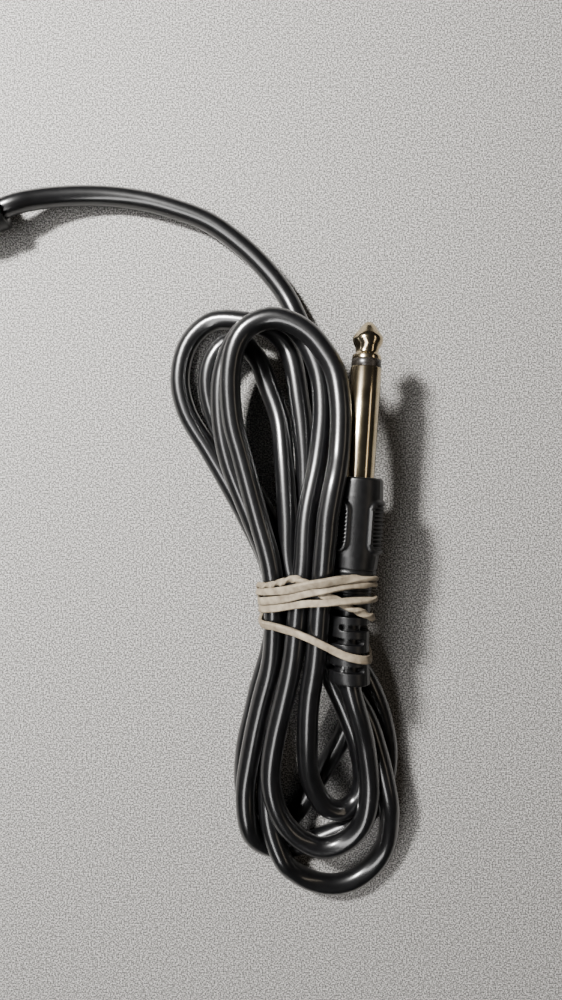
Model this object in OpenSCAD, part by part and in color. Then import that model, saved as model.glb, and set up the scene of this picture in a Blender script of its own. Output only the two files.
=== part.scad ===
// Instrument cable: two moulded 6.35 mm mono plugs joined by a round cord. Most of the
// cord is folded into a hank, which a rubber band ties together with the first plug.
// +Z is up from the table. The origin is on the table under the band's middle.

/* [Cord] */
// Diameter of the cord over its jacket
cord_d = 4.4; // [4.2:0.1:4.6]
// Outer diameter of the braided shield
shield_d = 3.4; // [3.2:0.1:3.5]
// Outer diameter of the insulation round the centre conductor
dielectric_d = 2.5; // [2.2:0.1:2.6]
// Diameter of the stranded centre conductor
core_d = 0.8; // [0.6:0.1:1.0]
// Height of the hank above the table
hank_h = 20; // [19.5:0.5:22]

/* [Plug contacts] */
// Diameter of the sleeve, the standard quarter inch
sleeve_d = 6.35; // [6.3:0.01:6.36]
// Length of the sleeve that stands out of the moulding
sleeve_l = 22.3; // [21:0.1:24]
// Length of the insulating ring between sleeve and tip
ring_l = 1.6; // [1.2:0.1:2]
// Diameter of the insulating ring
ring_d = 5.95; // [5.8:0.05:6]
// Length of the tip beyond the insulating ring
tip_l = 7.8; // [7.4:0.1:8]
// Diameter of the ball on the tip
ball_d = 6.3; // [6.1:0.05:6.3]
// Diameter of the waist behind the ball, where the socket's spring catches
neck_d = 4.6; // [4.2:0.1:4.8]
// Diameter of the rod that joins the tip to its terminal
rod_d = 2.4; // [2:0.1:2.6]

/* [Plug moulding] */
// Diameter of the moulding at its front face
body_front_d = 10.4; // [10.2:0.1:10.8]
// Diameter of the moulding at its grips
body_d = 12.1; // [11.8:0.1:12.2]
// Length of the moulding ahead of the strain relief
body_l = 20.4; // [20:0.1:21]
// Depth of the two grip panels
grip_depth = 0.55; // [0.3:0.05:0.6]
// Distance from one rib of a grip panel to the next
rib_pitch = 0.9; // [0.8:0.05:1.2]
// Diameter of the strain relief
relief_d = 8.4; // [8:0.1:8.8]
// Number of slotted rows along the strain relief
relief_rows = 6; // [4:1:6]
// Distance from one slotted row to the next
relief_pitch = 2.76; // [2.6:0.02:2.8]
// Width of one slot, measured along the cord
slot_w = 1.45; // [1.2:0.05:1.6]
// Width of the two webs left between a row's slots
web_w = 2.6; // [2.2:0.1:3]

/* [Rubber band] */
// Width of each turn of the band
band_w = 1.8; // [1.4:0.1:2]
// Thickness of the band
band_t = 1.4; // [1:0.1:1.6]

/* [Where the plugs lie] */
// Height of the axis of the plug that is tied to the hank
plug_a_z = 15.5; // [15:0.5:16]
// Turn of that plug away from the Y axis, in degrees
plug_a_turn = 4; // [3:0.1:5]
// Turn of the loose plug away from the Y axis, in degrees
plug_b_turn = 250; // [248:1:252]

/* [Hidden] */
CONTACT_PARTS = ["tip", "tip_ring", "sleeve", "liner", "ground_lug", "washer", "tip_lug"];
CABLE_PARTS = ["solder", "core", "dielectric", "shield", "cord_end"];
MOULD_PARTS = ["inner_mould", "body"];
PLUG_PARTS = concat(CONTACT_PARTS, CABLE_PARTS, MOULD_PARTS);

$fn = 48;
slip = 0.05;               // radial clearance between pieces that fit together
body_r = body_d / 2;
sleeve_r = sleeve_d / 2;
root_r = sleeve_r - 0.225;  // the sleeve's step down inside the moulding's front wall
cord_r = cord_d / 2;
shield_r = shield_d / 2;
core_r = core_d / 2;
rod_r = rod_d / 2;
relief_r = relief_d / 2;

// Places along a plug's own axis. Zero is the front face of the moulding, the tip
// points to plus, and the cord leaves at minus.
ring_at = sleeve_l;
tip_at = sleeve_l + ring_l;
relief_neck = 2.76;        // plain, ringed stretch ahead of the slotted rows
relief_l = relief_neck + relief_rows * relief_pitch + 1.7;
relief_end = -(body_l + relief_l);
front_wall = 1;            // thickness of the moulding ahead of the sleeve's flange
flange_t = 1.2;
flange_r = 4.4;
lug_t = 0.5;
washer_t = 0.8;
ground_lug_at = -(front_wall + flange_t + slip);
washer_at = ground_lug_at - lug_t - slip;
tip_lug_at = washer_at - washer_t - slip;
rod_end = tip_lug_at - lug_t - slip;
rivet_l = 0.6;
liner_r = 2.15;
mould_r = 4.5;
mould_wall = 0.5;
mould_end = -17.5;
jacket_cut = -11.3;        // where the jacket is cut back inside the moulding
shield_cut = -10.4;
dielectric_cut = -8.6;
core_cut = rod_end - rivet_l - 0.4;
ground_arm_y = -3.6;       // outer face of the ground terminal's arm
tip_arm_y = 1.1;           // inner face of the tip terminal's arm
pigtail_y = ground_arm_y + lug_t + 0.7;
pigtail_r = 0.6;
pigtail_end = -6.6;

plug_b_z = body_r;         // the loose plug rests on its grips
PLUG_A_PLACE = [11.2, 28, plug_a_z];
LEAD_END = [-64.9, 86.8, plug_b_z];
plug_b_way = [sin(plug_b_turn), cos(plug_b_turn), 0];
PLUG_B_PLACE = LEAD_END - relief_end * plug_b_way;

// The uncoiled cord, from the hank to the loose plug, laid on the table
LEAD_ROUTE = [
    [-0.6, 64.6, 3.2],
    [-1.9, 67.8, 3.2],
    [-3.6, 70.6, 2.6],
    [-6.1, 74.2, 2.2],
    [-9.7, 78.3, 2.2],
    [-14.2, 82.4, 2.2],
    [-19.5, 85.8, 2.2],
    [-25.6, 88.4, 2.2],
    [-32.5, 90.1, 2.2],
    [-40, 90.9, 2.2],
    [-47.5, 90.8, 2.5],
    [-54, 90.1, 3.8],
    LEAD_END - 5 * plug_b_way,
    LEAD_END
];
lead_sides = 10;

// Outer edge of the hank seen from above, from the top of its upper loops, down its
// left side, round the lower loops and up its right side
HANK_EDGE = [
    [-16, 65], [-24, 62], [-28.3, 55], [-28.3, 46], [-19, 26],
    [-9.4, 6], [-9.2, -6], [-12.6, -24], [-14.8, -40], [-9, -54.5],
    [6, -64], [18, -58], [22, -36], [16.6, -15], [14.4, -6],
    [14.2, 6], [8.5, 14], [8.2, 28], [9.6, 42], [6.5, 55], [-4, 63.5]
];
edge_steps = 4;            // straight pieces that each stretch of the edge is cut into
stub_l = 9;

// Cross-section of the tied bundle at the band
BUNDLE_LOW = [-8.8, 1.6];
BUNDLE_HIGH = [14.2, 20.3];
bundle_corner = 5;
waist_reach = 11;          // how far the waist runs each side of the origin
BAND_TURNS = [5.1, 2, -3.6];   // middle of each turn of the band along Y
band_joint_w = 4;

function unit(v) = v / norm(v);

// One point of a smooth curve through b and c, a and d being their other neighbours
function smooth(a, b, c, d, t) =
    0.5 * (2 * b + (c - a) * t + (2 * a - 5 * b + 4 * c - d) * t * t
        + (3 * b - a - 3 * c + d) * t * t * t);

// A closed list of points cut finer along that smooth curve
function smooth_loop(p, steps) = [
    for (i = [0 : len(p) - 1], s = [0 : steps - 1])
        let (n = len(p))
        smooth(p[(i + n - 1) % n], p[i], p[(i + 1) % n], p[(i + 2) % n], s / steps)
];

// Direction of a route at point i
function heading(p, i) = unit(p[min(i + 1, len(p) - 1)] - p[max(i - 1, 0)]);

// One ring of a tube of radius r round point i of a route
function tube_ring(p, i, r, sides) =
    let (
        along = heading(p, i),
        side = unit(cross(along, [0, 0, 1])),
        up = cross(side, along)
    )
    [for (k = [0 : sides - 1]) p[i] + r * (cos(360 * k / sides) * side + sin(360 * k / sides) * up)];

// A closed tube of radius r along a route
module tube_along(p, r, sides) {
    last = len(p) - 1;
    points = [for (i = [0 : last]) each tube_ring(p, i, r, sides)];
    walls = [
        for (i = [0 : last - 1], k = [0 : sides - 1])
            let (next = (k + 1) % sides)
            [i * sides + k, (i + 1) * sides + k, (i + 1) * sides + next, i * sides + next]
    ];
    start = [for (k = [0 : sides - 1]) k];
    end = [for (k = [sides - 1 : -1 : 0]) last * sides + k];
    polyhedron(points, concat(walls, [start, end]));
}

// A ring or tube on a plug's axis, from the lower place up
module collar(from, to, inner, outer) {
    translate([0, 0, from])
        difference() {
            cylinder(h = to - from, r = outer);
            translate([0, 0, -1])
                cylinder(h = to - from + 2, r = inner);
        }
}

// Sets a piece from a plug's own axis onto the table
module lay(place, turn) {
    translate(place)
        rotate([0, 0, -turn])
            rotate([-90, 0, 0])
                children();
}

module rounded_box_2d(low, high, corner) {
    size = high - low;
    translate([low[0] + corner, low[1]])
        square([size[0] - 2 * corner, size[1]]);
    translate([low[0], low[1] + corner])
        square([size[0], size[1] - 2 * corner]);
    for (x = [low[0] + corner, high[0] - corner], y = [low[1] + corner, high[1] - corner])
        translate([x, y])
            circle(r = corner);
}

// A bar along Y with the bundle's cross-section, grown by extra
module bundle_bar(middle, width, extra) {
    grow = [extra, extra];
    translate([0, middle + width / 2, 0])
        rotate([90, 0, 0])
            linear_extrude(height = width)
                rounded_box_2d(BUNDLE_LOW - grow, BUNDLE_HIGH + grow, bundle_corner + extra);
}

// The hank's outer shape, narrowed at the band and hollowed for the plug tied to it
module cord_hank() {
    plug_room_r = body_r + 0.6;
    room_l = tip_at + tip_l + 6 - relief_end;
    color("black")
        difference() {
            union() {
                linear_extrude(height = hank_h)
                    polygon(smooth_loop(HANK_EDGE, edge_steps));
                translate(LEAD_ROUTE[0])
                    rotate([0, 90, atan2(LEAD_ROUTE[0][1] - LEAD_ROUTE[1][1],
                                         LEAD_ROUTE[0][0] - LEAD_ROUTE[1][0])])
                        cylinder(h = stub_l, r = cord_r);
            }
            difference() {
                translate([-30, -waist_reach, -1])
                    cube([60, 2 * waist_reach, hank_h + 2]);
                bundle_bar(0, 2 * waist_reach + 2, -slip);
            }
            lay(PLUG_A_PLACE, plug_a_turn)
                translate([0, 0, relief_end]) {
                    cylinder(h = room_l, r = plug_room_r);
                    translate([-plug_room_r, -20, 0])
                        cube([2 * plug_room_r, 20, room_l]);
                }
        }
}

module cord_lead() {
    color("black")
        tube_along(LEAD_ROUTE, cord_r, lead_sides);
}

// One rubber band wound three times, its turns joined under the bundle
module rubber_band() {
    first = BAND_TURNS[len(BAND_TURNS) - 1] - band_w / 2;
    run = BAND_TURNS[0] + band_w / 2 - first;
    color("tan") {
        for (y = BAND_TURNS)
            difference() {
                bundle_bar(y, band_w, band_t);
                bundle_bar(y, band_w + 2, 0);
            }
        translate([-band_joint_w / 2, first, BUNDLE_LOW[1] - band_t])
            cube([band_joint_w, run, band_t]);
    }
}

// Turned tip: rounded point, ball, neck and collar, with its rod riveted over at the back
module tip() {
    ball_r = ball_d / 2;
    neck_r = neck_d / 2;
    collar_r = ball_r - 0.2;
    color("lightgoldenrodyellow")
        rotate_extrude()
            polygon([
                [0, rod_end - rivet_l],
                [rod_r + 0.7, rod_end - rivet_l],
                [rod_r + 0.7, rod_end],
                [rod_r, rod_end],
                [rod_r, tip_at],
                [collar_r, tip_at],
                [collar_r, tip_at + 0.7],
                [neck_r + 0.2, tip_at + 1.2],
                [neck_r, tip_at + 1.9],
                [neck_r + 0.3, tip_at + 2.5],
                [ball_r - 0.25, tip_at + 3.3],
                [ball_r, tip_at + 3.8],
                [ball_r - 0.1, tip_at + 4.3],
                [ball_r - 0.6, tip_at + 5],
                [1.5, tip_at + 6.7],
                [1.1, tip_at + 7.3],
                [0.5, tip_at + tip_l],
                [0, tip_at + tip_l]
            ]);
}

module tip_ring() {
    color("dimgray")
        collar(ring_at, tip_at, rod_r + slip, ring_d / 2);
}

// The sleeve, with the flange that the moulding grips
module sleeve() {
    color("lightgoldenrodyellow")
        difference() {
            union() {
                cylinder(h = sleeve_l, r = sleeve_r);
                translate([0, 0, -front_wall - 0.5])
                    cylinder(h = front_wall + 1, r = root_r);
                translate([0, 0, -front_wall - flange_t])
                    cylinder(h = flange_t, r = flange_r);
            }
            translate([0, 0, -front_wall - flange_t - 1])
                cylinder(h = front_wall + flange_t + sleeve_l + 2, r = liner_r + slip);
        }
}

// Insulating tube between the rod and the sleeve
module liner() {
    color("ivory")
        collar(-front_wall - flange_t, ring_at, rod_r + slip, liner_r);
}

// Ground terminal: a ring against the flange, an arm, and a claw round the jacket
module ground_lug() {
    claw_from = jacket_cut - 3.2;
    claw_to = jacket_cut - 0.4;
    color("silver") {
        collar(ground_lug_at - lug_t, ground_lug_at, liner_r + slip, 3.9);
        translate([-1.3, ground_arm_y, claw_from])
            cube([2.6, lug_t, ground_lug_at - claw_from]);
        difference() {
            collar(claw_from, claw_to, cord_r + slip, cord_r + slip + lug_t);
            translate([-5, 1.2, claw_from - 1])
                cube([10, 5, 5]);
        }
        translate([-0.8, ground_arm_y, claw_from])
            cube([1.6, -cord_r - 0.2 - ground_arm_y, claw_to - claw_from]);
    }
}

module washer() {
    color("sienna")
        collar(washer_at - washer_t, washer_at, rod_r + slip, 3.6);
}

// Tip terminal: a ring under the rivet and a short arm beside the conductor
module tip_lug() {
    color("silver") {
        collar(tip_lug_at - lug_t, tip_lug_at, rod_r + slip, 2.8);
        translate([-0.9, 2, dielectric_cut + 0.2])
            cube([1.8, lug_t, tip_lug_at - dielectric_cut - 0.2]);
        translate([-0.9, tip_arm_y, dielectric_cut + 0.2])
            cube([1.8, 1, 2]);
    }
}

// Two solder joints: conductor to tip terminal, shield to ground terminal
module solder() {
    color("gainsboro") {
        difference() {
            translate([0, 0, dielectric_cut + 0.2])
                cylinder(h = 2, r = tip_arm_y);
            translate([0, 0, dielectric_cut - 1])
                cylinder(h = 4, r = core_r + 0.02);
        }
        translate([0, pigtail_y, pigtail_end - 2.4])
            difference() {
                cylinder(h = 1.8, r = pigtail_r + 0.35);
                translate([0, 0, -1])
                    cylinder(h = 4, r = pigtail_r + 0.02);
                translate([-2, ground_arm_y + lug_t - pigtail_y - 2, -1])
                    cube([4, 2, 4]);
            }
    }
}

module core() {
    color("peru")
        translate([0, 0, relief_end])
            cylinder(h = core_cut - relief_end, r = core_r);
}

module dielectric() {
    color("white")
        collar(relief_end, dielectric_cut, core_r + slip, dielectric_d / 2);
}

// Shield, combed out into one tail that is soldered to the ground terminal
module shield() {
    color("peru") {
        collar(relief_end, shield_cut, dielectric_d / 2 + slip, shield_r);
        translate([0, pigtail_y, shield_cut - 0.7])
            cylinder(h = pigtail_end - shield_cut + 0.7, r = pigtail_r);
        translate([-0.4, pigtail_y, shield_cut - 0.7])
            cube([0.8, -pigtail_y - dielectric_d / 2 - 0.1, 0.7]);
    }
}

// The cord's jacket inside the moulding
module cord_end() {
    color("black")
        collar(relief_end, jacket_cut, shield_r + slip, cord_r);
}

// First moulding, a hard cup that keeps the terminals apart
module inner_mould() {
    color("gray")
        difference() {
            translate([0, 0, mould_end])
                cylinder(h = ground_lug_at - mould_end, r = mould_r);
            translate([0, 0, mould_end + 1.4])
                cylinder(h = ground_lug_at - mould_end, r = mould_r - mould_wall);
            translate([0, 0, mould_end - 1])
                cylinder(h = 4, r = cord_r + slip);
        }
}

// Sunk grip panel on one side, round the axis from angle from to angle to
module grip_panel(from, to) {
    grip_front = -3.4;
    grip_back = -15.5;
    floor_r = body_r - grip_depth;
    end_r = 3;
    rotate([0, 0, from])
        rotate_extrude(angle = to - from)
            polygon([
                [floor_r, grip_back + 0.6],
                [body_r + 1, grip_back - 0.4],
                [body_r + 1, grip_front + 0.4],
                [floor_r, grip_front - 0.6]
            ]);
    for (side = [from, to])
        rotate([0, 0, side])
            translate([floor_r, 0, (grip_front + grip_back) / 2])
                cube([end_r, 0.6, grip_front - grip_back - end_r], center = true);
}

// Ribs standing in a grip panel, a comb turned round the axis
module grip_ribs(from, to) {
    low = body_r - grip_depth - 0.3;
    top = body_r - 0.1;
    count = 11;
    start = -4.6;
    rotate([0, 0, from])
        rotate_extrude(angle = to - from)
            polygon(concat(
                [[low, start + 0.2]],
                [for (i = [0 : count - 1]) each [
                    [body_r - grip_depth, start - i * rib_pitch],
                    [top, start - i * rib_pitch - 0.25],
                    [top, start - i * rib_pitch - 0.5],
                    [body_r - grip_depth, start - i * rib_pitch - 0.75]
                ]],
                [[low, start - count * rib_pitch]]
            ));
}

// One row of the strain relief: two slots with webs between them
module slot_row(at, turn) {
    reach = relief_r + 2;
    rotate([0, 0, turn])
        for (side = [0, 180])
            rotate([0, 0, side])
                translate([web_w / 2, -reach, at - slot_w / 2])
                    cube([reach, 2 * reach, slot_w]);
}

// Outer moulding: body with two ribbed grips, and the slotted strain relief
module body() {
    front_r = body_front_d / 2;
    rear_r = 4.9;
    web_turns = [52, -55];
    ring_cut = 0.25;           // depth of the rings cut round the moulding's rear
    color("#1a1a1c")
        difference() {
            union() {
                difference() {
                    rotate_extrude()
                        polygon([
                            [0, relief_end],
                            [relief_r - 0.3, relief_end],
                            [relief_r, relief_end + 0.3],
                            [relief_r, -body_l - 2.4],
                            [relief_r - ring_cut, -body_l - 2.2],
                            [relief_r, -body_l - 2],
                            [relief_r, -body_l - 1.4],
                            [relief_r - ring_cut, -body_l - 1.2],
                            [relief_r, -body_l - 1],
                            [relief_r, -body_l],
                            [rear_r, -body_l],
                            [rear_r, -body_l + 0.5],
                            [rear_r - ring_cut, -body_l + 0.7],
                            [rear_r, -body_l + 0.9],
                            [rear_r, -body_l + 1.4],
                            [rear_r - ring_cut, -body_l + 1.6],
                            [rear_r + 0.1, -body_l + 1.9],
                            [body_r - 0.5, -16.8],
                            [body_r, -14.8],
                            [body_r, -8],
                            [front_r, -0.6],
                            [front_r - 0.4, 0],
                            [0, 0]
                        ]);
                    grip_panel(-56, 80);
                    grip_panel(100, 236);
                }
                grip_ribs(-38, 62);
                grip_ribs(118, 218);
            }
            for (row = [0 : relief_rows - 1])
                slot_row(-body_l - relief_neck - 1.2 - row * relief_pitch, web_turns[row % 2]);
            translate([0, 0, -front_wall - 1])
                cylinder(h = front_wall + 2, r = root_r + slip / 2);
            translate([0, 0, mould_end - slip])
                cylinder(h = -mould_end + slip - front_wall, r = mould_r + slip);
            translate([0, 0, relief_end - 1])
                cylinder(h = mould_end - relief_end + 2, r = cord_r + slip);
        }
}

// Draws one sub-part of a plug by name
module plug_part(part) {
    if (part == "tip") tip();
    if (part == "tip_ring") tip_ring();
    if (part == "sleeve") sleeve();
    if (part == "liner") liner();
    if (part == "ground_lug") ground_lug();
    if (part == "washer") washer();
    if (part == "tip_lug") tip_lug();
    if (part == "solder") solder();
    if (part == "core") core();
    if (part == "dielectric") dielectric();
    if (part == "shield") shield();
    if (part == "cord_end") cord_end();
    if (part == "inner_mould") inner_mould();
    if (part == "body") body();
}

cord_hank();
cord_lead();
rubber_band();
for (part = PLUG_PARTS) {
    lay(PLUG_A_PLACE, plug_a_turn) plug_part(part);
    lay(PLUG_B_PLACE, plug_b_turn) plug_part(part);
}
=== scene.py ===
"""The looks of a tied instrument cable: the cord as one settled length, the rubber band wound
round it, the two moulded plugs, their finishes, the table, the camera and the lights."""

import math

import bmesh
import bpy
import numpy as np
from mathutils import Matrix, Vector


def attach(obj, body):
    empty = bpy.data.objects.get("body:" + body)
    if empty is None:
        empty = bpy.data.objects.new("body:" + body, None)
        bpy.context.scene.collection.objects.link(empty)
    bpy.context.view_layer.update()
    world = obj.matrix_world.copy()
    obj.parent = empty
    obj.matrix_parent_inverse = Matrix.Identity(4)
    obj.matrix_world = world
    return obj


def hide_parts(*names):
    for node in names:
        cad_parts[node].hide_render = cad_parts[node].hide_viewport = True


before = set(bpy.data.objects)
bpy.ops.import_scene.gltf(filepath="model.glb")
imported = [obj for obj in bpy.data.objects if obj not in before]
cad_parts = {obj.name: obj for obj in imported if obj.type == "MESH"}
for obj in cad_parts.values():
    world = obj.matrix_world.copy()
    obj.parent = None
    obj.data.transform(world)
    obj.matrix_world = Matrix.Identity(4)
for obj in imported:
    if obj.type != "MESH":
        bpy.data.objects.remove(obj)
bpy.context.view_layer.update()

MM = 0.001

# The cord and the plugs, as the part has them, in millimetres
CORD_D = 4.4
CORD_R = CORD_D / 2
PLUG_A_PLACE = Vector((11.2, 28, 15.5))
PLUG_A_TURN = math.radians(4)
PLUG_B_TURN = math.radians(250)
RELIEF_END = -41.42
LEAD_END = Vector((-64.9, 86.8, 6.05))
RELIEF_BEND = 1.1


def plug_way(turn):
    """Direction in which a plug's tip points."""
    return Vector((math.sin(turn), math.cos(turn), 0))


PLUG_B_PLACE = LEAD_END - RELIEF_END * plug_way(PLUG_B_TURN)


# ---------------------------------------------------------------- camera
# In millimetres: where the lens is, and the length of table that it takes in
CAMERA_PLACE = (-4.5, 23.5, 150)
TABLE_SEEN = 226.2443


def add_camera():
    """Looks straight down on the hank, close above the table."""
    data = bpy.data.cameras.new("camera")
    data.sensor_fit = "VERTICAL"
    data.sensor_height = 24
    data.lens = data.sensor_height * CAMERA_PLACE[2] / TABLE_SEEN
    data.clip_start = 0.01
    camera = bpy.data.objects.new("camera", data)
    camera.location = Vector(CAMERA_PLACE) * MM
    bpy.context.collection.objects.link(camera)
    bpy.context.scene.camera = camera


# ---------------------------------------------------------------- the cord's route
# From the first plug's strain relief, turn by turn, to the top of the hank
HANK_ROUTE = [
    # out of the plug, round the top lower loop and up its left side
    (8.95, -9, 15.5), (9.4, -13.6, 15.5), (10.2, -17, 15), (11.6, -21.5, 13.7), (13.1, -27, 11.8),
    (14.3, -35, 10), (14.1, -40.5, 9.4), (12.5, -46, 8.4), (9, -50, 7.6), (4.4, -51.5, 7.3),
    (-0.3, -49.5, 7.6), (-3.9, -45.4, 8.6), (-6.1, -40, 9.8), (-6.8, -34, 10.8), (-5.5, -24.5, 12.5),
    (-3.9, -17.5, 14), (-2.1, -9, 15.5), (-0.9, 2.5, 16.4),
    # up through the band and over the second upper loop
    (0.1, 9.5, 16.2), (0.8, 20, 15), (3.3, 32.5, 13.8), (4.2, 43, 13.3), (3, 51.5, 12.8),
    (-1.6, 59.5, 12.2), (-6.5, 61.4, 12), (-13, 58.6, 11.4), (-16.6, 50.5, 10.8), (-17.2, 42, 10),
    # down its left side, through the band and round the outermost lower loop
    (-15.7, 32.5, 9.5), (-11, 20, 8.6), (-6.6, 9, 8.5), (-5, 0, 8.6), (-5, -9, 8),
    (-6.4, -20, 6.5), (-7.5, -30, 5.4), (-7.6, -41, 4.6), (-7, -46.7, 3.2), (-5.4, -51.8, 2.6),
    (-2.5, -56.8, 2.2), (1.5, -60.3, 2.2), (6.4, -61.9, 2.2), (11.3, -61.2, 2.2), (15.8, -58.1, 2.2),
    (18.6, -53.4, 2.8), (19.2, -47.2, 4.6), (18.6, -41, 6.8), (15.7, -29.5, 8.1), (12.9, -21, 8.6),
    (8, -12, 9.8), (4.5, -6, 11),
    # across under the top strands and up the inside of the inner upper loop
    (1.2, 0, 12), (-2.6, 9, 11.6), (-3.1, 20, 11), (-3.9, 32.5, 9.4), (-4.8, 41, 7.6),
    (-7.4, 48.6, 6.6), (-9.4, 54, 6.4), (-12.8, 57.7, 6.2), (-16.6, 57.8, 6), (-19.5, 54.3, 5.6),
    (-20.6, 49.5, 5.2), (-20, 44.5, 4.6), (-17.5, 37.5, 3.8), (-12.5, 28, 3.8), (-7, 18, 3.6), (-2, 9, 3.2),
    # across the bottom of the waist to the outer right of the lower loops
    (2.5, 0.5, 3.2), (6.5, -5, 4.4), (10, -9, 6), (12.6, -13, 7.2), (14.6, -17, 7.2),
    (17.2, -23, 5.6), (19.1, -31.5, 3.6), (18.6, -39.5, 2.6), (16, -45.2, 2.2), (11.6, -48.6, 2.2),
    (6, -51.2, 2.2), (1, -53.2, 2.2), (-3, -54.2, 2.3), (-6.8, -53.5, 2.7), (-9.6, -50.7, 3.3),
    (-11.3, -46, 4.2), (-12, -39, 5.4), (-10.2, -27.5, 8), (-8.3, -18.5, 10), (-6.2, -9.5, 12.2),
    (-5.8, 2, 13.2),
    # up the left side of the front upper loop and over it, against the plug's sleeve
    (-6.3, 9.5, 13.6), (-9.2, 20, 13.3), (-12.6, 32.5, 13), (-14.6, 40, 13.1), (-15.1, 50, 13.6),
    (-13.6, 56.1, 14.2), (-11.2, 59, 14.8), (-6.7, 60.6, 15.6), (-2.2, 59.4, 16.2), (1.5, 56.8, 16.6),
    (4.3, 53.2, 17), (6.3, 49.5, 17.4), (7.4, 42.5, 18.2), (7.2, 32, 19.2), (6.7, 28, 20.2),
    (5.8, 24.5, 20.8), (4.9, 20, 21), (4.6, 15.5, 20.8), (4, 10, 20), (3.2, 1.5, 18.6),
    # down through the band and round the short lower loop
    (2.5, -8.5, 17), (1.2, -17.5, 15.2), (0.9, -26, 13.3), (1.3, -33.5, 11), (3, -39, 9.2),
    (5.4, -42.7, 7.8), (8.9, -44.1, 6.5), (12.2, -42.2, 5.6), (13.5, -37.5, 5.2), (12.4, -29.5, 5.4),
    (9.8, -21.5, 6.2), (7.4, -15.5, 6.8), (5, -8, 7.2), (3, 0, 7.4),
    # up the middle and over the outermost upper loop
    (1.6, 9, 7.8), (0.7, 20, 8.6), (0.6, 33, 9.4), (-0.5, 44, 9), (-2.7, 55.5, 8),
    (-6.5, 60.3, 6.8), (-13, 62.6, 5.4), (-19.8, 62.9, 3.8), (-25, 58.6, 2.6), (-27.1, 50.6, 2.2),
    (-25.5, 43, 2.2), (-20.3, 34.6, 2.3), (-16.5, 28.5, 2.6), (-11.6, 20, 3.2), (-6.9, 9, 3.6),
    # down the left, round the lowest loop and up to the lead
    (-5.7, 0, 4), (-6.3, -8, 4.6), (-9.4, -20, 5), (-12, -29.5, 3.6), (-12.9, -36.5, 2.4),
    (-12.7, -42.4, 2.2), (-10.5, -46.9, 2.2), (-6.8, -48.9, 2.2), (-2.9, -47.7, 2.2), (0.1, -44.3, 2.2),
    (3, -39.8, 2.2), (6.2, -34.5, 2.2), (9.4, -28.8, 2.6), (11.6, -22.5, 3.2), (11.6, -15, 3.4),
    (9.4, -8, 3.2), (6.8, 0, 2.8), (4.5, 9, 2.6), (2.6, 20, 2.4), (1.6, 30, 2.4), (2.2, 39, 2.2),
    (2.6, 47, 2.2), (2.2, 53.5, 2.3), (1.1, 59, 2.6),
]
# The uncoiled stretch, on the table from the hank to the loose plug
LEAD_ROUTE = [
    (-0.7, 63.4, 3.2), (-3.4, 68.9, 2.6), (-7.2, 74.1, 2.3), (-13.2, 80.1, 2.2), (-20.8, 85.5, 2.2),
    (-28.4, 88.4, 2.2), (-35.9, 90.3, 2.2), (-44.8, 91.1, 2.6), (-53.3, 90.4, 3.7), (-59.2, 89, 5.1),
    LEAD_END - 3 * plug_way(PLUG_B_TURN), LEAD_END,
]

# How the route settles: spacing of its points, rounds, and the lengths held still at its ends
ROUTE_STEP = 1.5
SETTLE_ROUNDS = 240
HELD_AT_PLUG = 9
HELD_AT_LEAD = 75
TIGHTEST_BEND = 4.8
# Room for the band under the waist, half the waist's length, and the length over which it grows
BAND_ROOM = 1.5
WAIST_HALF = 17
WAIST_EASE = 9
# In one round, pushes act more strongly up and down, and several on one point are shared out. Then
# a point follows its neighbours, is drawn back home, and has its bends straightened.
VERTICAL_PUSH = 1.35
SHARING_POWER = 0.7
FOLLOW = 0.45
HOMING = 0.015
STRAIGHTEN = 0.03
UNBEND = 0.3


def smooth_route(points, step):
    """Points a step apart along one smooth curve through the given points."""
    per_span = 12
    p = np.array([tuple(q) for q in points], float)
    p = np.vstack([2 * p[0] - p[1], p, 2 * p[-1] - p[-2]])
    fine = []
    for a, b, c, d in zip(p[:-3], p[1:-2], p[2:-1], p[3:]):
        knots = np.cumsum([0] + [np.linalg.norm(v) ** 0.5 for v in (b - a, c - b, d - c)])
        t0, t1, t2, t3 = knots
        for t in np.linspace(t1, t2, per_span, endpoint=False):
            a1 = ((t1 - t) * a + (t - t0) * b) / (t1 - t0)
            a2 = ((t2 - t) * b + (t - t1) * c) / (t2 - t1)
            a3 = ((t3 - t) * c + (t - t2) * d) / (t3 - t2)
            b1 = ((t2 - t) * a1 + (t - t0) * a2) / (t2 - t0)
            b2 = ((t3 - t) * a2 + (t - t1) * a3) / (t3 - t1)
            fine.append(((t2 - t) * b1 + (t - t1) * b2) / (t2 - t1))
    fine.append(p[-2])
    return even_steps(np.array(fine), step)


def even_steps(points, step):
    """The same path with its points evenly spaced."""
    run = np.concatenate([[0], np.cumsum(np.linalg.norm(np.diff(points, axis=0), axis=1))])
    count = max(2, int(round(run[-1] / step)) + 1)
    at = np.linspace(0, run[-1], count)
    return np.stack([np.interp(at, run, points[:, k]) for k in range(3)], axis=1)


def plug_radius(u):
    """Outer radius of a plug at distance u along its axis."""
    profile = [(RELIEF_END, 4.2), (-21.6, 4.2), (-21.5, 5), (-19.5, 5), (-15, 6.05), (-8, 6.05),
               (-0.5, 5.2), (0, 5.1), (0.1, 3.2), (24.1, 3.2), (31.2, 2)]
    return np.interp(u, [u0 for u0, _ in profile], [r for _, r in profile])


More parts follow.
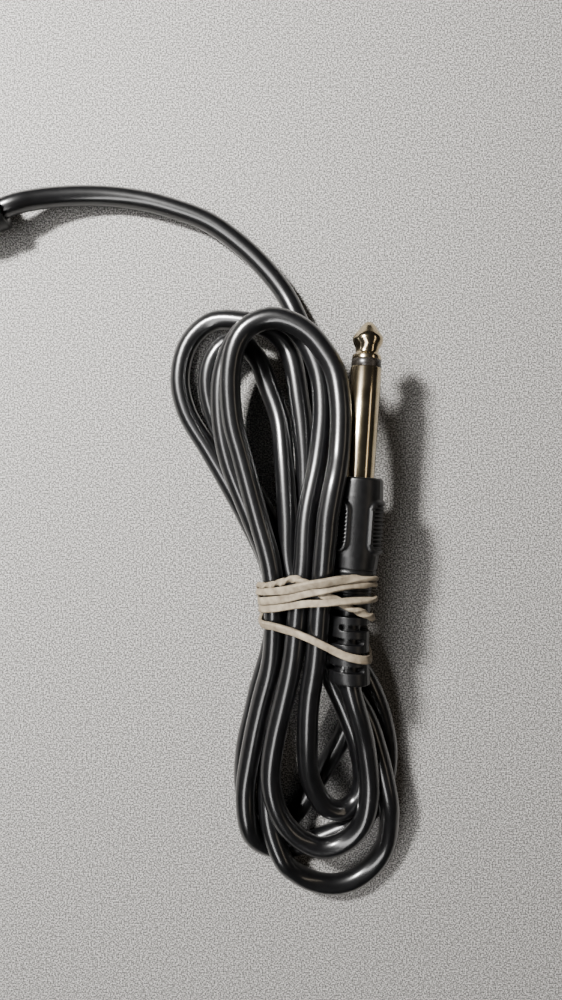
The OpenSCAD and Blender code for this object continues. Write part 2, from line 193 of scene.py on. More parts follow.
def settle(path, rounds):
    """Moves overlapping turns apart until they lie on each other, on the table and on the plug,
    each held near its own place and kept smooth, with both ends fixed."""
    home = path.copy()
    count = len(path)
    step = np.linalg.norm(path[1] - path[0])
    # points closer than this along the cord don't push each other
    near = int(2.2 * CORD_D / step)
    index = np.arange(count)
    apart = np.abs(index[:, None] - index[None, :]) > near
    upper = apart & (index[:, None] < index[None, :])
    axis = np.array(plug_way(PLUG_A_TURN))
    place = np.array(PLUG_A_PLACE)
    point_at = 31
    hold = np.ones((count, 1))
    hold[:int(HELD_AT_PLUG / step)] = 0
    hold[-int(HELD_AT_LEAD / step):] = 0
    # the band passes under the waist, so the strands there lie a little higher
    waist = np.clip((WAIST_HALF - np.abs(home[:, 1])) / WAIST_EASE, 0, 1) * (hold[:, 0] > 0)
    lowest = CORD_R + BAND_ROOM * waist * waist * (3 - 2 * waist)
    for _ in range(rounds):
        gap_vector = path[:, None, :] - path[None, :, :]
        distance = np.linalg.norm(gap_vector, axis=2)
        rows, columns = np.nonzero(upper & (distance < CORD_D))
        push = np.zeros_like(path)
        weight = np.zeros(count)
        if len(rows):
            gap = gap_vector[rows, columns]
            length = np.maximum(distance[rows, columns], 0.05)
            way = gap / length[:, None]
            way[:, 2] *= VERTICAL_PUSH
            move = way * ((CORD_D - length) * 0.5)[:, None]
            np.add.at(push, rows, move)
            np.add.at(push, columns, -move)
            np.add.at(weight, rows, 1)
            np.add.at(weight, columns, 1)
        path = path + hold * push / np.maximum(weight, 1)[:, None] ** SHARING_POWER
        along = (path - place) @ axis
        foot = place + along[:, None] * axis
        out = path - foot
        off = np.linalg.norm(out, axis=1)
        need = plug_radius(along) + CORD_R
        inside = (along > RELIEF_END + 1) & (along < point_at) & (off < need)
        clear = np.where(inside[:, None], out / np.maximum(off, 0.1)[:, None], 0)
        path = path + hold * clear * (need - off)[:, None]
        for _ in range(2):
            moved = path - home
            moved[1:-1] += hold[1:-1] * FOLLOW * ((moved[:-2] + moved[2:]) / 2 - moved[1:-1])
            path = home + moved * (1 - HOMING * hold)
            sag = (path[:-2] + path[2:]) / 2 - path[1:-1]
            tight = np.linalg.norm(sag, axis=1) / (step * step / 2 / TIGHTEST_BEND)
            ease = np.clip(tight - 1, 0, 1)[:, None]
            path[1:-1] += hold[1:-1] * (STRAIGHTEN + UNBEND * ease) * sag
        path[:, 2] = np.maximum(path[:, 2], lowest)
    return path


cord_path = settle(smooth_route(HANK_ROUTE + LEAD_ROUTE, ROUTE_STEP), SETTLE_ROUNDS)


def add_cord(path):
    """One length of round cord along the settled route."""
    data = bpy.data.curves.new("cord", "CURVE")
    data.dimensions = "3D"
    data.bevel_depth = CORD_R * MM
    data.bevel_resolution = 6
    data.use_fill_caps = True
    spline = data.splines.new("POLY")
    spline.points.add(len(path) - 1)
    spline.points.foreach_set("co", np.hstack([path * MM, np.ones((len(path), 1))]).ravel())
    spline.use_smooth = True
    cord = bpy.data.objects.new("cord", data)
    bpy.context.collection.objects.link(cord)
    return cord


# ---------------------------------------------------------------- turned and moulded pieces
def deselect_all():
    bpy.ops.object.select_all(action="DESELECT")


def turned(name, profile, steps):
    """A piece turned round the Z axis from a list of (height, radius) in millimetres."""
    deselect_all()
    bpy.ops.mesh.primitive_plane_add(size=MM)
    piece = bpy.context.object
    piece.name = name
    piece.data.name = name
    bpy.ops.object.mode_set(mode="EDIT")
    bpy.ops.mesh.select_mode(type="VERT")
    bpy.ops.mesh.select_all(action="SELECT")
    bpy.ops.mesh.merge(type="CENTER")
    height, radius = profile[0]
    bpy.ops.transform.translate(value=(radius * MM, 0, height * MM))
    for next_height, next_radius in profile[1:]:
        step = ((next_radius - radius) * MM, 0, (next_height - height) * MM)
        bpy.ops.mesh.extrude_region_move(TRANSFORM_OT_translate={"value": step})
        height, radius = next_height, next_radius
    bpy.ops.mesh.select_all(action="SELECT")
    bpy.ops.mesh.spin(steps=steps, angle=math.tau, center=(0, 0, 0), axis=(0, 0, 1))
    bpy.ops.mesh.select_all(action="SELECT")
    bpy.ops.mesh.remove_doubles(threshold=0.001 * MM)
    bpy.ops.mesh.normals_make_consistent(inside=False)
    bpy.ops.object.mode_set(mode="OBJECT")
    return piece


def smooth_by_angle(piece, degrees):
    deselect_all()
    piece.select_set(True)
    bpy.context.view_layer.objects.active = piece
    bpy.ops.object.shade_smooth_by_angle(angle=math.radians(degrees))


def lay(piece, place, turn):
    """Moves a piece from its plug's own axis to where the plug lies, in its mesh."""
    onto = Matrix.Translation(Vector(place) * MM) @ Matrix.Rotation(-turn, 4, "Z")
    piece.data.transform(onto @ Matrix.Rotation(-math.pi / 2, 4, "X"))
    piece.data.update()


# Heights and radii along a plug's axis, from the front face of its moulding
RING_AT = 22.3
TIP_AT = 23.9
ROD_R = 1.2
SLEEVE_R = 3.175


def turned_tip(name):
    """Rounded point, ball, neck and collar, on the rod that runs through the sleeve."""
    back = -5.2
    nose = [(0, 2.92), (0.06, 2.98), (0.74, 2.98), (0.9, 2.9), (1.0, 2.72), (1.08, 2.52), (1.25, 2.38),
            (1.6, 2.31), (2, 2.34), (2.5, 2.49), (3, 2.77), (3.4, 2.98), (3.8, 3.1), (4.2, 3.14),
            (4.55, 3.08), (4.9, 2.92), (5.4, 2.55), (6, 2.08), (6.6, 1.66), (7.1, 1.28), (7.45, 0.92),
            (7.68, 0.55), (7.78, 0.25), (7.8, 0)]
    profile = [(back, 0), (back, 1.85), (back + 0.6, 1.85), (back + 0.6, ROD_R), (TIP_AT, ROD_R)]
    profile += [(TIP_AT + height, radius) for height, radius in nose]
    piece = turned(name, profile, 72)
    smooth_by_angle(piece, 40)
    return piece


def turned_sleeve(name):
    """Tube with a chamfered front edge and the flange that the moulding grips."""
    bore = 2.2
    profile = [(-2.2, bore), (-2.2, 4.4), (-1, 4.4), (-1, SLEEVE_R), (RING_AT - 0.16, SLEEVE_R),
               (RING_AT - 0.04, SLEEVE_R - 0.06), (RING_AT, SLEEVE_R - 0.16), (RING_AT, bore), (-2.2, bore)]
    piece = turned(name, profile, 96)
    smooth_by_angle(piece, 30)
    return piece


def turned_ring(name):
    """Insulating ring between the sleeve and the tip, its edges eased."""
    bore = 1.25
    radius = 3
    profile = [(RING_AT, bore), (RING_AT, radius - 0.06), (RING_AT + 0.06, radius),
               (TIP_AT - 0.06, radius), (TIP_AT, radius - 0.06), (TIP_AT, bore), (RING_AT, bore)]
    piece = turned(name, profile, 72)
    smooth_by_angle(piece, 50)
    return piece


# The moulding: pads stand proud of the body, slots run round the strain relief
RELIEF_R = 4.2
CORD_BORE = 2.25
PAD_MIDDLE = (92.5, 272.5)
PAD_HALF_TURN = 72
PAD_FROM, PAD_TO = -4.1, -15.4
PAD_CORNER = 2.6
PAD_RISE = 0.6
PAD_R = 5.8
PAD_MARGIN = 0.3
PAD_EDGE = 0.75
PAD_ROW = 0.13
RIB_PITCH = 0.78
RIB_EDGE = 1.05
RIB_DEPTH = 0.5
SLOT_PITCH = 2.76
FIRST_SLOT = -24.36
SLOT_ROWS = 6
SLOT_HALF = 0.68
SLOT_FLOOR = 0.15
SLOT_RIM = 0.11
WEB_HALF = 1.25
WEB_TURNS = (-52, 58)
PART_LINE = (51, -129)
PART_LINE_HALF_TURN = 1.6
PART_LINE_RISE = 0.07
BEND_START = -24


def moulding_profile():
    """Heights and radii of the moulding, out along its skin and back along its bore."""
    skin = [(-0.06, 4.5), (0, 4.62), (-0.04, 4.8), (-0.16, 4.95), (-0.36, 5.05), (-0.7, 5.1),
            (-1.4, 5.14), (-2.2, 5.18), (-3, 5.22), (-3.6, 5.25)]
    pad_rows = int(round((PAD_FROM + PAD_MARGIN - PAD_TO + PAD_MARGIN) / PAD_ROW))
    skin += [(PAD_FROM + PAD_MARGIN - row * PAD_ROW, 5.27) for row in range(pad_rows + 1)]
    skin += [(-16.1, 5.22), (-16.7, 5.15), (-17.3, 5.08), (-17.8, 5.03), (-18.1, 5), (-18.22, 4.94),
             (-18.32, 4.74), (-18.48, 4.74), (-18.58, 4.94), (-18.7, 4.98), (-19.15, 4.95), (-19.25, 4.9),
             (-19.35, 4.7), (-19.5, 4.7), (-19.6, 4.88), (-19.75, 4.9), (-20.2, 4.84), (-20.36, 4.74),
             (-20.44, 4.55), (-20.5, 4.3), (-20.62, 4.22), (-20.9, RELIEF_R)]
    for middle in (-21.4, -22.3, -23.2):
        skin += [(middle + 0.24, RELIEF_R), (middle + 0.14, 4.14), (middle + 0.06, 3.98),
                 (middle - 0.06, 3.98), (middle - 0.14, 4.14), (middle - 0.24, RELIEF_R)]
    for row in range(SLOT_ROWS):
        middle = FIRST_SLOT - row * SLOT_PITCH
        skin += [(middle + part * 0.17, RELIEF_R) for part in range(5, -6, -1)]
        if row < SLOT_ROWS - 1:
            skin.append((middle - SLOT_PITCH / 2, RELIEF_R))
    skin += [(-39.6, RELIEF_R), (-40.3, RELIEF_R), (RELIEF_END + 0.42, RELIEF_R),
             (RELIEF_END + 0.16, 4.13), (RELIEF_END + 0.04, 3.98), (RELIEF_END, 3.75),
             (RELIEF_END, 2.6), (RELIEF_END + 0.12, 2.4), (RELIEF_END + 0.4, CORD_BORE)]
    bore = [(-30, CORD_BORE), (-17.55, CORD_BORE), (-17.55, 4.55), (-1, 4.55), (-1, 3.25),
            (-0.2, 3.25), (-0.06, 3.4), (-0.06, 4.5)]
    return skin + bore


def turn_of(point):
    """Degrees round a plug's axis from its top, positive to the right."""
    return math.degrees(math.atan2(point.x, -point.y))


def turn_gap(turn, middle):
    return (turn - middle + 180) % 360 - 180


def inside_rounded(across, along, half_across, half_along, corner):
    """How far a point lies inside a rounded rectangle."""
    over_x = abs(across) - half_across + corner
    over_y = abs(along) - half_along + corner
    outside = math.hypot(max(over_x, 0), max(over_y, 0))
    return corner - outside - min(max(over_x, over_y), 0)


def eased(value):
    value = min(max(value, 0), 1)
    return value * value * (3 - 2 * value)


def pad_height(turn, height):
    """Rise of the skin at a grip pad: an eased edge, then a comb of ribs."""
    middle = min(PAD_MIDDLE, key=lambda m: abs(turn_gap(turn, m)))
    across = math.radians(turn_gap(turn, middle)) * PAD_R
    along = height - (PAD_FROM + PAD_TO) / 2
    deep = inside_rounded(across, along, math.radians(PAD_HALF_TURN) * PAD_R,
                          (PAD_FROM - PAD_TO) / 2, PAD_CORNER)
    if deep <= 0:
        return 0
    wave = 0.5 - 0.5 * math.cos(math.tau * along / RIB_PITCH)
    cut = RIB_DEPTH * wave ** 0.8 * eased((deep - RIB_EDGE) / 0.35)
    return PAD_RISE * eased(deep / PAD_EDGE) - cut


def shape_skin(piece):
    """Raises the grip pads and the fine line where the mould's halves met."""
    for vertex in piece.data.vertices:
        point = vertex.co / MM
        radius = math.hypot(point.x, point.y)
        rise = 0
        on_line = min(abs(turn_gap(turn_of(point), m)) for m in PART_LINE) < PART_LINE_HALF_TURN
        if PAD_TO < point.z < PAD_FROM and radius > 5:
            rise = pad_height(turn_of(point), point.z)
        if rise == 0 and on_line and radius > 3.9 and point.z < -0.3:
            rise = PART_LINE_RISE
        vertex.co.x *= (radius + rise) / radius
        vertex.co.y *= (radius + rise) / radius


def slot_reach(turn, height, row):
    """How far a place on the strain relief lies inside a slot of a row."""
    web = WEB_TURNS[row % 2]
    quarter = abs(turn_gap(turn, web + 90))
    quarter = min(quarter, abs(turn_gap(turn, web - 90)))
    across = math.radians(quarter) * RELIEF_R
    half = math.radians(90) * RELIEF_R - WEB_HALF
    along = height - (FIRST_SLOT - row * SLOT_PITCH)
    return inside_rounded(across, along, half, SLOT_HALF, SLOT_HALF - 0.01)


def on_outline(point, row):
    """Slides a point of the skin onto the rounded end of its slot."""
    for _ in range(3):
        turn = turn_of(point)
        gap = slot_reach(turn, point.z, row)
        nudge = 0.02
        turn_nudge = math.degrees(nudge / RELIEF_R)
        slope_across = (slot_reach(turn + turn_nudge, point.z, row) - gap) / nudge
        slope_along = (slot_reach(turn, point.z + nudge, row) - gap) / nudge
        size = max(slope_across ** 2 + slope_along ** 2, 0.3)
        turn = math.radians(turn) - gap * slope_across / size / RELIEF_R
        radius = math.hypot(point.x, point.y)
        point = Vector((radius * math.sin(turn), -radius * math.cos(turn),
                        point.z - gap * slope_along / size))
    return point


def cut_slots(piece):
    """Sinks each row's two slots nearly to the cord, then rounds their rims."""
    bpy.context.view_layer.objects.active = piece
    bpy.ops.object.mode_set(mode="EDIT")
    bpy.ops.mesh.select_mode(type="FACE")
    bpy.ops.mesh.select_all(action="DESELECT")
    mesh = bmesh.from_edit_mesh(piece.data)
    rim = {}
    for face in mesh.faces:
        centre = face.calc_center_median() / MM
        row = round((FIRST_SLOT - centre.z) / SLOT_PITCH)
        if math.hypot(centre.x, centre.y) < 4 or not 0 <= row < SLOT_ROWS:
            continue
        if slot_reach(turn_of(centre), centre.z, row) > 0:
            face.select_set(True)
            for vertex in face.verts:
                rim[vertex] = row
    for vertex, row in rim.items():
        if not all(face.select for face in vertex.link_faces):
            vertex.co = on_outline(vertex.co / MM, row) * MM
    bmesh.update_edit_mesh(piece.data)
    bpy.ops.mesh.extrude_region_move(TRANSFORM_OT_translate={"value": (0, 0, 0)})
    sink = (CORD_BORE + SLOT_FLOOR) / RELIEF_R
    bpy.ops.transform.resize(value=(sink, sink, 1), center_override=(0, 0, 0))
    bpy.ops.mesh.select_all(action="DESELECT")
    bpy.ops.mesh.select_mode(type="EDGE")
    mesh = bmesh.from_edit_mesh(piece.data)
    mesh.normal_update()
    for edge in mesh.edges:
        middle = (edge.verts[0].co + edge.verts[1].co) / 2 / MM
        out = Vector((middle.x, middle.y, 0))
        if out.length < 4.1 or middle.z > FIRST_SLOT + 1.2 or len(edge.link_faces) != 2:
            continue
        facing = sorted(abs(face.normal.dot(out.normalized())) for face in edge.link_faces)
        if facing[0] < 0.35 and facing[1] > 0.85:
            edge.select_set(True)
    bpy.ops.mesh.bevel(offset=SLOT_RIM * MM, segments=2, affect="EDGES", clamp_overlap=True)
    bpy.ops.object.mode_set(mode="OBJECT")


def bend_relief(piece, bend):
    """Leans the end of the strain relief aside, the way its cord pulls it."""
    for vertex in piece.data.vertices:
        past = BEND_START - vertex.co.z / MM
        if past > 0:
            vertex.co.x += bend * MM * (past / (BEND_START - RELIEF_END)) ** 2


def moulding(name, bend):
    piece = turned(name, moulding_profile(), 120)
    shape_skin(piece)
    cut_slots(piece)
    bend_relief(piece, bend)
    smooth_by_angle(piece, 42)
    return piece


# ---------------------------------------------------------------- the rubber band
BAND_MIDDLE = (2.2, 11.2)
BAND_LIFT = 0.55
BAND_HALF_WIDE, BAND_HALF_THICK = 0.78, 0.46
BAND_REACH = 9
# How far the first plug reaches from its axis: from its collar's Y on, and along its strain relief
COLLAR_FROM = 8
COLLAR_REACH, RELIEF_REACH = 4.9, 4.25
# Each turn over the top from left to right: (degrees round the bundle, Y, extra height)
BAND_TURNS = [
    [(180, 5.6, 0), (150, 6.2, 0.3), (128, 7.4, 0.5), (112, 8.3, 0.5), (100, 7.4, 0.1), (86, 5.4, 0),
     (68, 4.1, 0), (50, 2, 0), (30, 0.2, 0), (10, -0.8, 0), (-40, 0.5, 0), (-90, 2.4, 0)],
    [(180, 4.4, 0.4), (150, 5, 0.7), (120, 5.9, 1), (95, 7.2, 1), (75, 7.9, 0.6), (55, 8.2, 0.3),
     (35, 8, 0.2), (10, 7, 0.2), (-40, 5.6, 0.2), (-90, 4.4, 0.2)],
    [(180, 2.4, 0.2), (150, 3.2, 0.3), (120, 4.4, 0.5), (95, 5.6, 0.5), (75, 6.4, 0.3), (55, 6.9, 0.1),
     (35, 6.8, 0), (10, 6.1, 0), (-40, 4.6, 0), (-90, 3, 0)],
    [(180, 0.9, 0), (150, 1.6, 0), (120, 2.7, 0), (95, 3.4, 0.2), (75, 3.7, 0.8), (55, 3.9, 0.9),
     (35, 3.8, 0.4), (10, 3.4, 0), (-40, 2, 0), (-90, 0.3, 0)],
    [(180, -2, 0), (150, -2, 0), (120, -2.6, 0), (95, -3.8, 0), (75, -5.4, 0), (55, -7.3, 0),
     (35, -8.4, 0), (10, -8.7, 0), (-40, -4.6, 0), (-90, 0.5, 0.8)],
]
# Where the strip twists: (from, to, half turns), as shares of its length
BAND_TWISTS = [(0.905, 0.932, 3), (0.945, 0.998, 6), (0.705, 0.735, 1), (0.5, 0.53, -1), (0.3, 0.35, 1)]


def hull_reach(circles, turn):
    """Distance from the bundle's middle to a taut line round its strands."""
    way = np.array([math.cos(turn), math.sin(turn)])
    ring = np.linspace(0, math.tau, 73)[:-1]
    supports = np.stack([np.cos(ring), np.sin(ring)], axis=1)
    widths = (circles[:, :2] @ supports.T + circles[:, 2:3]).max(axis=0)
    facing = supports @ way
    front = facing > 0.02
    return float((widths[front] / facing[front]).min())


def bundle_circles(path, y):
    """The strands that pass the band at y, as (x, z, radius) from the bundle's middle."""
    near = path[np.abs(path[:, 1] - y) < 1]
    circles = [(x - BAND_MIDDLE[0], z - BAND_MIDDLE[1], CORD_R) for x, _, z in near]
    along = y - PLUG_A_PLACE.y
    x = PLUG_A_PLACE.x + along * math.tan(PLUG_A_TURN) - BAND_MIDDLE[0]
    circles.append((x, PLUG_A_PLACE.z - BAND_MIDDLE[1], COLLAR_REACH if y > COLLAR_FROM else RELIEF_REACH))
    return np.array(circles)


def band_path(path):
    """The band's middle line, taut round the strands and lifted where turns cross."""
    knots = []
    for number, turn in enumerate(BAND_TURNS):
        knots += [(degrees - 360 * number, y, extra) for degrees, y, extra in turn]
    first = knots[0]
    knots.append((first[0] - 360 * len(BAND_TURNS), first[1], first[2]))
    knots = np.array(knots)[::-1]
    turns = np.arange(knots[0, 0], knots[-1, 0], 1.5)
    y = np.interp(turns, knots[:, 0], knots[:, 1])
    extra = np.interp(turns, knots[:, 0], knots[:, 2])
    heights = {level: bundle_circles(path, level) for level in np.arange(-BAND_REACH, BAND_REACH + 0.5, 0.5)}
    points = []
    for degrees, at, more in zip(turns, y, extra):
        level = min(max(round(at * 2) / 2, -BAND_REACH), BAND_REACH)
        reach = hull_reach(heights[level], math.radians(degrees)) + BAND_LIFT + more
        points.append((BAND_MIDDLE[0] + reach * math.cos(math.radians(degrees)), at,
                       BAND_MIDDLE[1] + reach * math.sin(math.radians(degrees))))
    points = np.array(points)
    for _ in range(20):
        points = (np.roll(points, 1, 0) + 2 * points + np.roll(points, -1, 0)) / 4
    return points


def rubber_band(path):
    """One endless band, a rounded strip that twists here and there as it goes round."""
    line = band_path(path)
    count = len(line)
    sides = 16
    ring = np.linspace(0, math.tau, sides + 1)[:-1]
    section = np.stack([BAND_HALF_WIDE * np.sign(np.cos(ring)) * np.abs(np.cos(ring)) ** 0.4,
                        BAND_HALF_THICK * np.sign(np.sin(ring)) * np.abs(np.sin(ring)) ** 0.4], axis=1)
    along = np.roll(line, -1, 0) - np.roll(line, 1, 0)
    along /= np.linalg.norm(along, axis=1)[:, None]
    out = line - np.array([BAND_MIDDLE[0], 0, BAND_MIDDLE[1]])
    out[:, 1] = 0
    out -= (out * along).sum(axis=1)[:, None] * along
    out /= np.linalg.norm(out, axis=1)[:, None]
    side = np.cross(along, out)
    share = np.arange(count) / count
    # the half turns add up to whole ones, so that the strip meets itself where it closes
    twist = 0.35 * np.sin(math.tau * 7 * share) + 0.2 * np.sin(math.tau * 16 * share + 1)
    for begin, end, halves in BAND_TWISTS:
        twist += math.pi * halves * np.clip((share - begin) / (end - begin), 0, 1)
    wide = 1 + 0.1 * np.sin(math.tau * 11 * share)
    turn_cos, turn_sin = np.cos(twist)[:, None], np.sin(twist)[:, None]
    verts = []
    for a, b in section:
        across = (a * turn_cos - b * turn_sin) * wide[:, None]
        up = a * turn_sin + b * turn_cos
        verts.append(line + across * side + up * out)
    verts = np.stack(verts, axis=1).reshape(-1, 3)
    # the strip is pressed flat where the bundle lies on it
    verts[:, 2] = np.maximum(verts[:, 2], 0)
    faces = []
    for i in range(count):
        after = (i + 1) % count
        for k in range(sides):
            beside = (k + 1) % sides
            faces.append((i * sides + k, i * sides + beside, after * sides + beside, after * sides + k))
    mesh = bpy.data.meshes.new("rubber_band_strip")
    mesh.from_pydata([tuple(v) for v in verts * MM], [], faces)
    piece = bpy.data.objects.new("rubber_band_strip", mesh)
    bpy.context.collection.objects.link(piece)
    deselect_all()
    piece.select_set(True)
    bpy.context.view_layer.objects.active = piece
    bpy.ops.object.mode_set(mode="EDIT")
    bpy.ops.mesh.select_all(action="SELECT")
    bpy.ops.mesh.normals_make_consistent(inside=False)
    bpy.ops.object.mode_set(mode="OBJECT")
    smooth_by_angle(piece, 60)
    return piece


# ---------------------------------------------------------------- finishes
class Finish:
    """A material and short ways to wire its nodes."""

    def __init__(self, name, color, roughness, metallic=0.0):
        self.material = bpy.data.materials.new(name)
        self.material.use_nodes = True
        self.tree = self.material.node_tree
        self.shader = self.tree.nodes["Principled BSDF"]
        self.shader.inputs["Base Color"].default_value = (*color, 1)
        self.shader.inputs["Roughness"].default_value = roughness
        self.shader.inputs["Metallic"].default_value = metallic
        self.place = self.tree.nodes.new("ShaderNodeTexCoord").outputs["Object"]
        self.last_bump = None

    def noise(self, size, detail, stretch=(1, 1, 1), turn=0.0):
        """Grain whose spots are size millimetres across."""
        mapping = self.tree.nodes.new("ShaderNodeMapping")
        mapping.inputs["Scale"].default_value = stretch
        mapping.inputs["Rotation"].default_value = (0, 0, turn)
        self.tree.links.new(self.place, mapping.inputs["Vector"])
        node = self.tree.nodes.new("ShaderNodeTexNoise")
        node.inputs["Scale"].default_value = 1 / (size * MM)
        node.inputs["Detail"].default_value = detail
        self.tree.links.new(mapping.outputs["Vector"], node.inputs["Vector"])
        return node.outputs["Fac"]

    def spots(self, size, keep):
        """Scattered specks, one in a cell size millimetres wide."""
        node = self.tree.nodes.new("ShaderNodeTexVoronoi")
        node.inputs["Scale"].default_value = 1 / (size * MM)
        self.tree.links.new(self.place, node.inputs["Vector"])
        return self.ramp(node.outputs["Distance"], [(0, 1), (keep, 0)])

    def ramp(self, value, stops):
        node = self.tree.nodes.new("ShaderNodeValToRGB")
        ends = node.color_ramp.elements
        while len(ends) < len(stops):
            ends.new(0.5)
        for end, (at, shade) in zip(ends, stops):
            end.position = at
            end.color = (shade, shade, shade, 1) if isinstance(shade, (int, float)) else (*shade, 1)
        self.tree.links.new(value, node.inputs["Fac"])
        return node.outputs["Color"]

    def color(self, value):
        self.tree.links.new(value, self.shader.inputs["Base Color"])

    def mix(self, amount, first, second):
        node = self.tree.nodes.new("ShaderNodeMix")
        node.data_type = "RGBA"
        self.tree.links.new(amount, node.inputs["Factor"])
        for socket, value in ((node.inputs[6], first), (node.inputs[7], second)):
            if isinstance(value, tuple):
                socket.default_value = (*value, 1)
            else:
                self.tree.links.new(value, socket)
        return node.outputs[2]

    def roughness(self, value, low, high):
        node = self.tree.nodes.new("ShaderNodeMapRange")
        node.inputs["To Min"].default_value = low
        node.inputs["To Max"].default_value = high
        self.tree.links.new(value, node.inputs["Value"])
        self.tree.links.new(node.outputs["Result"], self.shader.inputs["Roughness"])

    def bump(self, value, depth, strength):
        """Relief depth millimetres deep, on top of any before it."""
        node = self.tree.nodes.new("ShaderNodeBump")
        node.inputs["Strength"].default_value = strength
        node.inputs["Distance"].default_value = depth * MM
        self.tree.links.new(value, node.inputs["Height"])
        if self.last_bump:
            self.tree.links.new(self.last_bump, node.inputs["Normal"])
        self.last_bump = node.outputs["Normal"]
        self.tree.links.new(self.last_bump, self.shader.inputs["Normal"])


def jacket_finish():
    """Glossy black vinyl with a faint waviness, scuffs and specks of dust."""
    finish = Finish("glossy_black_jacket", (0.002, 0.002, 0.0023), 0.34)
    scuff = finish.noise(2.4, 5)
    tone = finish.ramp(scuff, [(0.3, (0.0012, 0.0012, 0.0014)), (0.75, (0.003, 0.003, 0.0034))])
    dust = finish.spots(2.6, 0.03)
    finish.color(finish.mix(dust, tone, (0.16, 0.16, 0.15)))
    finish.roughness(finish.noise(0.9, 4), 0.28, 0.4)
    finish.bump(finish.noise(3.2, 2), 0.03, 0.4)
    finish.bump(finish.noise(0.25, 3), 0.002, 0.5)
    finish.shader.inputs["IOR"].default_value = 1.3
    finish.shader.inputs["Coat Weight"].default_value = 1
    finish.shader.inputs["Coat IOR"].default_value = 1.5
    finish.shader.inputs["Coat Roughness"].default_value = 0.2
    return finish.material


def moulding_finish():
    """Matt black moulding with a fine grain left by the mould."""
    finish = Finish("matt_black_moulding", (0.002, 0.002, 0.0022), 0.42)
    tone = finish.noise(1.6, 4)
    finish.color(finish.ramp(tone, [(0.3, (0.0014, 0.0014, 0.0016)), (0.75, (0.003, 0.003, 0.0033))]))
    finish.roughness(finish.noise(0.5, 3), 0.27, 0.42)
    finish.bump(finish.noise(0.2, 2), 0.02, 0.7)
    finish.bump(finish.noise(0.07, 1), 0.006, 0.6)
    finish.shader.inputs["IOR"].default_value = 1.42
    return finish.material


def contact_finish(name, turn):
    """Polished pale gold plating with faint turning lines and a little tarnish."""
    finish = Finish(name, (0.60, 0.50, 0.34), 0.14, 1)
    tarnish = finish.noise(3.5, 4)
    finish.color(finish.ramp(tarnish, [(0.3, (0.48, 0.39, 0.25)), (0.7, (0.68, 0.57, 0.39))]))
    rings = finish.noise(0.12, 2, (0.02, 1, 0.02), turn)
    finish.roughness(tarnish, 0.11, 0.2)
    finish.bump(rings, 0.0015, 0.5)
    return finish.material


def ring_finish():
    """Dark satin plastic of the insulating ring."""
    finish = Finish("ring_dark_insulator", (0.008, 0.007, 0.006), 0.28)
    tone = finish.noise(0.7, 3)
    finish.color(finish.ramp(tone, [(0.3, (0.006, 0.005, 0.004)), (0.7, (0.012, 0.01, 0.008))]))
    finish.roughness(finish.noise(0.3, 2), 0.22, 0.34)
    finish.bump(finish.noise(0.15, 2), 0.004, 0.6)
    return finish.material


def band_finish():
    """Dusty beige rubber, mottled and slightly grained."""
    finish = Finish("beige_rubber", (0.50, 0.44, 0.34), 0.72)
    mottle = finish.noise(1.3, 5)
    finish.color(finish.ramp(mottle, [(0.28, (0.10, 0.078, 0.052)), (0.55, (0.175, 0.143, 0.10)),
                                      (0.8, (0.25, 0.21, 0.152))]))
    finish.roughness(finish.noise(0.4, 3), 0.6, 0.85)
    finish.bump(finish.noise(0.35, 3), 0.03, 0.7)
    finish.bump(finish.noise(0.09, 2), 0.008, 0.6)
    finish.shader.inputs["Subsurface Weight"].default_value = 0.08
    finish.shader.inputs["Subsurface Radius"].default_value = (0.0012, 0.0008, 0.0005)
    return finish.material


def plain_finish(name, dark, light, rough, metallic=0.0):
    """A finish for a piece inside the moulding: two tones in a fine grain."""
    grain = 0.4
    finish = Finish(name, dark, rough, metallic)
    finish.color(finish.ramp(finish.noise(1.1, 4), [(0.3, dark), (0.7, light)]))
    finish.roughness(finish.noise(grain, 3), rough * 0.8, min(1, rough * 1.2))
    finish.bump(finish.noise(grain, 3), 0.01, 0.5)
    return finish.material


def table_finish():
    """Pale grey table top with a fine even speckle."""
    finish = Finish("pale_table", (0.55, 0.54, 0.52), 0.75)
    speckle = finish.noise(0.34, 3)
    finish.color(finish.ramp(speckle, [(0.38, (0.04, 0.039, 0.037)), (0.5, (0.14, 0.136, 0.131)),
                                       (0.62, (0.36, 0.351, 0.338))]))
    finish.bump(finish.noise(0.3, 3), 0.05, 0.5)
    return finish.material


# ---------------------------------------------------------------- the scene
add_camera()

jacket = jacket_finish()
cord = add_cord(cord_path)
cord.data.materials.append(jacket)
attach(cord, "root")
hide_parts("cord_hank", "cord_lead")

black_moulding = moulding_finish()
dark_ring = ring_finish()
PLUGS = [("plug_a", PLUG_A_PLACE, PLUG_A_TURN, RELIEF_BEND), ("plug_b", PLUG_B_PLACE, PLUG_B_TURN, 0)]
for plug, place, turn, bend in PLUGS:
    gilt = contact_finish(plug + "_gilt", turn)
    made = [
        (moulding(plug + "_moulding", bend), "body", "moulding", black_moulding),
        (turned_tip(plug + "_turned_tip"), "tip", "contact_metal", gilt),
        (turned_sleeve(plug + "_turned_sleeve"), "sleeve", "contact_metal", gilt),
        (turned_ring(plug + "_turned_ring"), "tip_ring", "insulator", dark_ring),
    ]
    for piece, node, slot, material in made:
        lay(piece, place, turn)
        piece.data.materials.clear()
        piece.data.materials.append(material)
        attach(piece, "root")
        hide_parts(plug + "_" + node)

band = rubber_band(cord_path)
band.data.materials.append(band_finish())
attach(band, "root")
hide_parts("rubber_band")

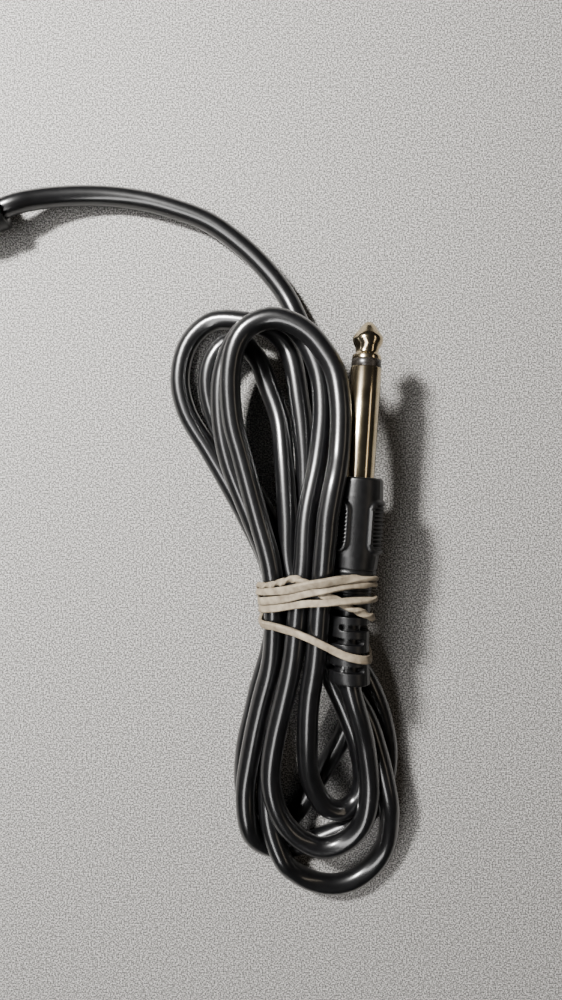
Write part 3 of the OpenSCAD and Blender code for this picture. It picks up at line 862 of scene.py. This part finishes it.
INNER_FINISHES = {
    "liner": plain_finish("ivory_insulation", (0.62, 0.60, 0.53), (0.74, 0.72, 0.65), 0.3),
    "ground_lug": plain_finish("tinned_terminal", (0.5, 0.5, 0.48), (0.66, 0.65, 0.62), 0.32, 1),
    "washer": plain_finish("brown_washer_board", (0.20, 0.10, 0.05), (0.32, 0.17, 0.09), 0.7),
    "solder": plain_finish("grey_solder", (0.45, 0.45, 0.46), (0.62, 0.62, 0.63), 0.4, 1),
    "core": plain_finish("bare_copper", (0.62, 0.27, 0.14), (0.76, 0.4, 0.24), 0.3, 1),
    "inner_mould": plain_finish("grey_first_moulding", (0.12, 0.12, 0.12), (0.2, 0.2, 0.2), 0.55),
}
INNER_FINISHES["dielectric"] = INNER_FINISHES["liner"]
INNER_FINISHES["tip_lug"] = INNER_FINISHES["ground_lug"]
INNER_FINISHES["shield"] = INNER_FINISHES["core"]
INNER_FINISHES["cord_end"] = jacket
for plug, _, _, _ in PLUGS:
    for part, material in INNER_FINISHES.items():
        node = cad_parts[plug + "_" + part]
        node.data.materials.clear()
        node.data.materials.append(material)

TABLE_SIZE = 3
deselect_all()
bpy.ops.mesh.primitive_plane_add(size=TABLE_SIZE, location=(0, 0, 0))
table = bpy.context.object
table.name = "table_top"
table.data.materials.append(table_finish())


def add_area(name, place, aim, size, power, tint):
    """A soft lamp that faces a point, with its two side lengths in metres."""
    data = bpy.data.lights.new(name, "AREA")
    data.shape = "RECTANGLE"
    data.size, data.size_y = size
    data.energy = power
    data.color = tint
    lamp = bpy.data.objects.new(name, data)
    lamp.location = place
    lamp.rotation_euler = (Vector(aim) - Vector(place)).to_track_quat("-Z", "Y").to_euler()
    bpy.context.collection.objects.link(lamp)


add_area("key_lamp", (-0.2, 0.19, 0.28), (-0.08, 0.16, 0), (0.05, 0.05), 7.2, (1, 0.985, 0.96))
add_area("strip_lamp", (-0.2, -0.12, 0.4), (0, -0.05, 0), (0.75, 0.11), 3, (1, 0.99, 0.98))
add_area("side_lamp", (0.32, 0, 0.3), (0, 0, 0), (0.5, 0.03), 0.22, (1, 0.86, 0.68))
room = bpy.data.worlds.new("room")
bpy.context.scene.world = room
room.use_nodes = True
room.node_tree.nodes["Background"].inputs["Color"].default_value = (1, 1, 1, 1)
room.node_tree.nodes["Background"].inputs["Strength"].default_value = 0.02
